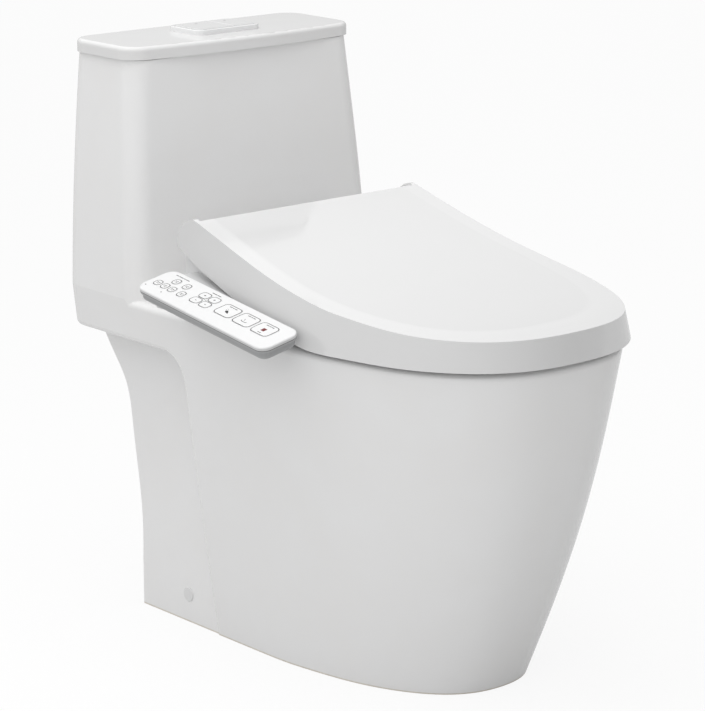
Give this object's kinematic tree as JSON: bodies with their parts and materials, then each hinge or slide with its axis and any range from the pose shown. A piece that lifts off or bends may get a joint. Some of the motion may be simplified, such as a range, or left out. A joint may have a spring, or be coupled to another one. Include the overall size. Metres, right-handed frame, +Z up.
{
  "type": "smart toilet with heated seat",
  "caption": "One-piece skirted toilet with a heated bidet seat, side control panel, lifting seat and lid, and a dual-flush tank.",
  "frame": {"origin": "centre of the floor outlet, on the floor", "axes": "+Z up, -Y towards the bowl's front, +Y towards the wall behind the tank, -X is the control panel's side"},
  "size_m": [0.4364, 0.692, 0.7016],
  "materials": {
    "vitreous_china": "white glaze",
    "white_gloss_plastic": "polished white",
    "panel_grey": "fine satin grey",
    "panel_white": "satin white",
    "inner_plastic": "moulded off-white",
    "valve_plastic": "moulded pale grey",
    "black_rubber": "soft black",
    "white_rubber": "soft white",
    "steel": "brushed",
    "brass_thread": "machined",
    "circuit_board": "solder-mask green",
    "heater_foil": "foil"
  },
  "bodies": {
    "china": {"china_body": "vitreous_china", "china_basin": "vitreous_china", "china_rim": "vitreous_china", "china_tank": "vitreous_china", "trap_outlet_connector": "black_rubber", "floor_brackets": "steel", "side_fixing_screws": "steel", "side_screw_caps": "white_gloss_plastic", "flush_valve_gasket": "black_rubber", "flush_valve_body": "valve_plastic", "fill_valve_tower": "valve_plastic", "fill_valve_nut": "inner_plastic", "seat_mounting_plate": "steel", "seat_mounting_bolts": "steel", "expansion_sleeves": "black_rubber"},
    "tank_lid": {"tank_lid": "vitreous_china", "flush_bezel": "white_gloss_plastic", "bezel_nut": "inner_plastic"},
    "full_flush_button": {"full_flush_button": "white_gloss_plastic"},
    "half_flush_button": {"half_flush_button": "white_gloss_plastic"},
    "full_flush_plunger": {"full_flush_plunger": "inner_plastic"},
    "half_flush_plunger": {"half_flush_plunger": "inner_plastic"},
    "overflow": {"overflow_tube": "valve_plastic", "flush_seal": "black_rubber"},
    "float": {"float_cup": "inner_plastic"},
    "float_lever": {"float_lever": "inner_plastic"},
    "base_unit": {"base_cover": "white_gloss_plastic", "base_tray": "white_gloss_plastic", "control_board": "circuit_board", "water_heater_tank": "inner_plastic", "inlet_valve": "inner_plastic", "water_inlet": "brass_thread", "cord_gland": "black_rubber", "hinge_pins": "steel", "nozzle_housing": "inner_plastic", "panel_fascia": "panel_white", "panel_tray": "panel_grey", "panel_circuit_board": "circuit_board"},
    "release_button": {"release_button": "panel_grey"},
    "rear_nozzle": {"rear_nozzle": "steel"},
    "front_nozzle": {"front_nozzle": "steel"},
    "seat": {"seat_ring_top": "white_gloss_plastic", "seat_ring_base": "white_gloss_plastic", "seat_heater": "heater_foil", "seat_bumpers": "white_rubber"},
    "lid": {"lid_shell": "white_gloss_plastic", "lid_bumpers": "white_rubber"},
    "stop_key": {"stop_key": "panel_white"},
    "rear_wash_key": {"rear_wash_key": "panel_white"},
    "front_wash_key": {"front_wash_key": "panel_white"},
    "pressure_up_key": {"pressure_up_key": "panel_white"},
    "pressure_down_key": {"pressure_down_key": "panel_white"},
    "nozzle_forward_key": {"nozzle_forward_key": "panel_white"},
    "nozzle_back_key": {"nozzle_back_key": "panel_white"},
    "power_key": {"power_key": "panel_white"},
    "seat_heat_key": {"seat_heat_key": "panel_white"},
    "water_heat_key": {"water_heat_key": "panel_white"},
    "dry_key": {"dry_key": "panel_white"},
    "light_key": {"light_key": "panel_white"},
    "move_key": {"move_key": "panel_white"}
  },
  "joints": [
    {"name": "unit_release_slide", "type": "slide", "parent": "china", "child": "base_unit", "axis": [0, -1, 0], "range_m": [0, 0.045]},
    {"name": "release_button_press", "type": "slide", "parent": "base_unit", "child": "release_button", "axis": [-1, 0, 0], "range_m": [0, 0.002], "stiffness_N_per_m": 600, "springref_m": -0.001},
    {"name": "seat_hinge", "type": "hinge", "parent": "base_unit", "child": "seat", "pos_m": [0, 0.058, 0.482], "axis": [-1, 0, 0], "range_deg": [0, 100]},
    {"name": "lid_hinge", "type": "hinge", "parent": "seat", "child": "lid", "pos_m": [0, 0.058, 0.482], "axis": [1, 0, 0], "range_deg": [-105, 0]},
    {"name": "tank_lid_lift", "type": "slide", "parent": "china", "child": "tank_lid", "axis": [0, 0, 1], "range_m": [0, 0.14]},
    {"name": "full_flush_press", "type": "slide", "parent": "tank_lid", "child": "full_flush_button", "axis": [0, 0, 1], "range_m": [-0.006, 0], "stiffness_N_per_m": 300, "springref_m": 0.003},
    {"name": "half_flush_press", "type": "slide", "parent": "tank_lid", "child": "half_flush_button", "axis": [0, 0, 1], "range_m": [-0.006, 0], "stiffness_N_per_m": 300, "springref_m": 0.003},
    {"name": "full_plunger_press", "type": "slide", "parent": "china", "child": "full_flush_plunger", "axis": [0, 0, 1], "range_m": [-0.006, 0]},
    {"name": "half_plunger_press", "type": "slide", "parent": "china", "child": "half_flush_plunger", "axis": [0, 0, 1], "range_m": [-0.006, 0]},
    {"name": "overflow_lift", "type": "slide", "parent": "china", "child": "overflow", "axis": [0, 0, 1], "range_m": [0, 0.022]},
    {"name": "float_rise", "type": "slide", "parent": "china", "child": "float", "axis": [0, 0, 1], "range_m": [0, 0.02]},
    {"name": "float_lever_turn", "type": "hinge", "parent": "china", "child": "float_lever", "pos_m": [0.131, 0.222, 0.619], "axis": [0, 1, 0], "range_deg": [0, 34]},
    {"name": "rear_nozzle_slide", "type": "slide", "parent": "base_unit", "child": "rear_nozzle", "axis": [0, -0.9063, -0.4226], "range_m": [0, 0.08]},
    {"name": "front_nozzle_slide", "type": "slide", "parent": "base_unit", "child": "front_nozzle", "axis": [0, -0.9063, -0.4226], "range_m": [0, 0.08]},
    {"name": "stop_key_press", "type": "slide", "parent": "base_unit", "child": "stop_key", "axis": [-0.2164, -0.1325, 0.9673], "range_m": [-0.0008, 0], "stiffness_N_per_m": 400, "springref_m": 0.0004},
    {"name": "rear_wash_key_press", "type": "slide", "parent": "base_unit", "child": "rear_wash_key", "axis": [-0.2164, -0.1325, 0.9673], "range_m": [-0.0008, 0], "stiffness_N_per_m": 400, "springref_m": 0.0004},
    {"name": "front_wash_key_press", "type": "slide", "parent": "base_unit", "child": "front_wash_key", "axis": [-0.2164, -0.1325, 0.9673], "range_m": [-0.0008, 0], "stiffness_N_per_m": 400, "springref_m": 0.0004},
    {"name": "pressure_up_key_press", "type": "slide", "parent": "base_unit", "child": "pressure_up_key", "axis": [-0.2164, -0.1325, 0.9673], "range_m": [-0.0008, 0], "stiffness_N_per_m": 400, "springref_m": 0.0004},
    {"name": "pressure_down_key_press", "type": "slide", "parent": "base_unit", "child": "pressure_down_key", "axis": [-0.2164, -0.1325, 0.9673], "range_m": [-0.0008, 0], "stiffness_N_per_m": 400, "springref_m": 0.0004},
    {"name": "nozzle_forward_key_press", "type": "slide", "parent": "base_unit", "child": "nozzle_forward_key", "axis": [-0.2164, -0.1325, 0.9673], "range_m": [-0.0008, 0], "stiffness_N_per_m": 400, "springref_m": 0.0004},
    {"name": "nozzle_back_key_press", "type": "slide", "parent": "base_unit", "child": "nozzle_back_key", "axis": [-0.2164, -0.1325, 0.9673], "range_m": [-0.0008, 0], "stiffness_N_per_m": 400, "springref_m": 0.0004},
    {"name": "power_key_press", "type": "slide", "parent": "base_unit", "child": "power_key", "axis": [-0.2164, -0.1325, 0.9673], "range_m": [-0.0008, 0], "stiffness_N_per_m": 400, "springref_m": 0.0004},
    {"name": "seat_heat_key_press", "type": "slide", "parent": "base_unit", "child": "seat_heat_key", "axis": [-0.2164, -0.1325, 0.9673], "range_m": [-0.0008, 0], "stiffness_N_per_m": 400, "springref_m": 0.0004},
    {"name": "water_heat_key_press", "type": "slide", "parent": "base_unit", "child": "water_heat_key", "axis": [-0.2164, -0.1325, 0.9673], "range_m": [-0.0008, 0], "stiffness_N_per_m": 400, "springref_m": 0.0004},
    {"name": "dry_key_press", "type": "slide", "parent": "base_unit", "child": "dry_key", "axis": [-0.2164, -0.1325, 0.9673], "range_m": [-0.0008, 0], "stiffness_N_per_m": 400, "springref_m": 0.0004},
    {"name": "light_key_press", "type": "slide", "parent": "base_unit", "child": "light_key", "axis": [-0.2164, -0.1325, 0.9673], "range_m": [-0.0008, 0], "stiffness_N_per_m": 400, "springref_m": 0.0004},
    {"name": "move_key_press", "type": "slide", "parent": "base_unit", "child": "move_key", "axis": [-0.2164, -0.1325, 0.9673], "range_m": [-0.0008, 0], "stiffness_N_per_m": 400, "springref_m": 0.0004}
  ],
  "couplings": [
    {"joint": "full_plunger_press", "follows": "full_flush_press", "ratio": 1},
    {"joint": "overflow_lift", "follows": "full_flush_press", "ratio": -3.6666},
    {"joint": "half_plunger_press", "follows": "half_flush_press", "ratio": 1},
    {"joint": "float_lever_turn", "follows": "float_rise", "rad_per_m": 29.412}
  ]
}
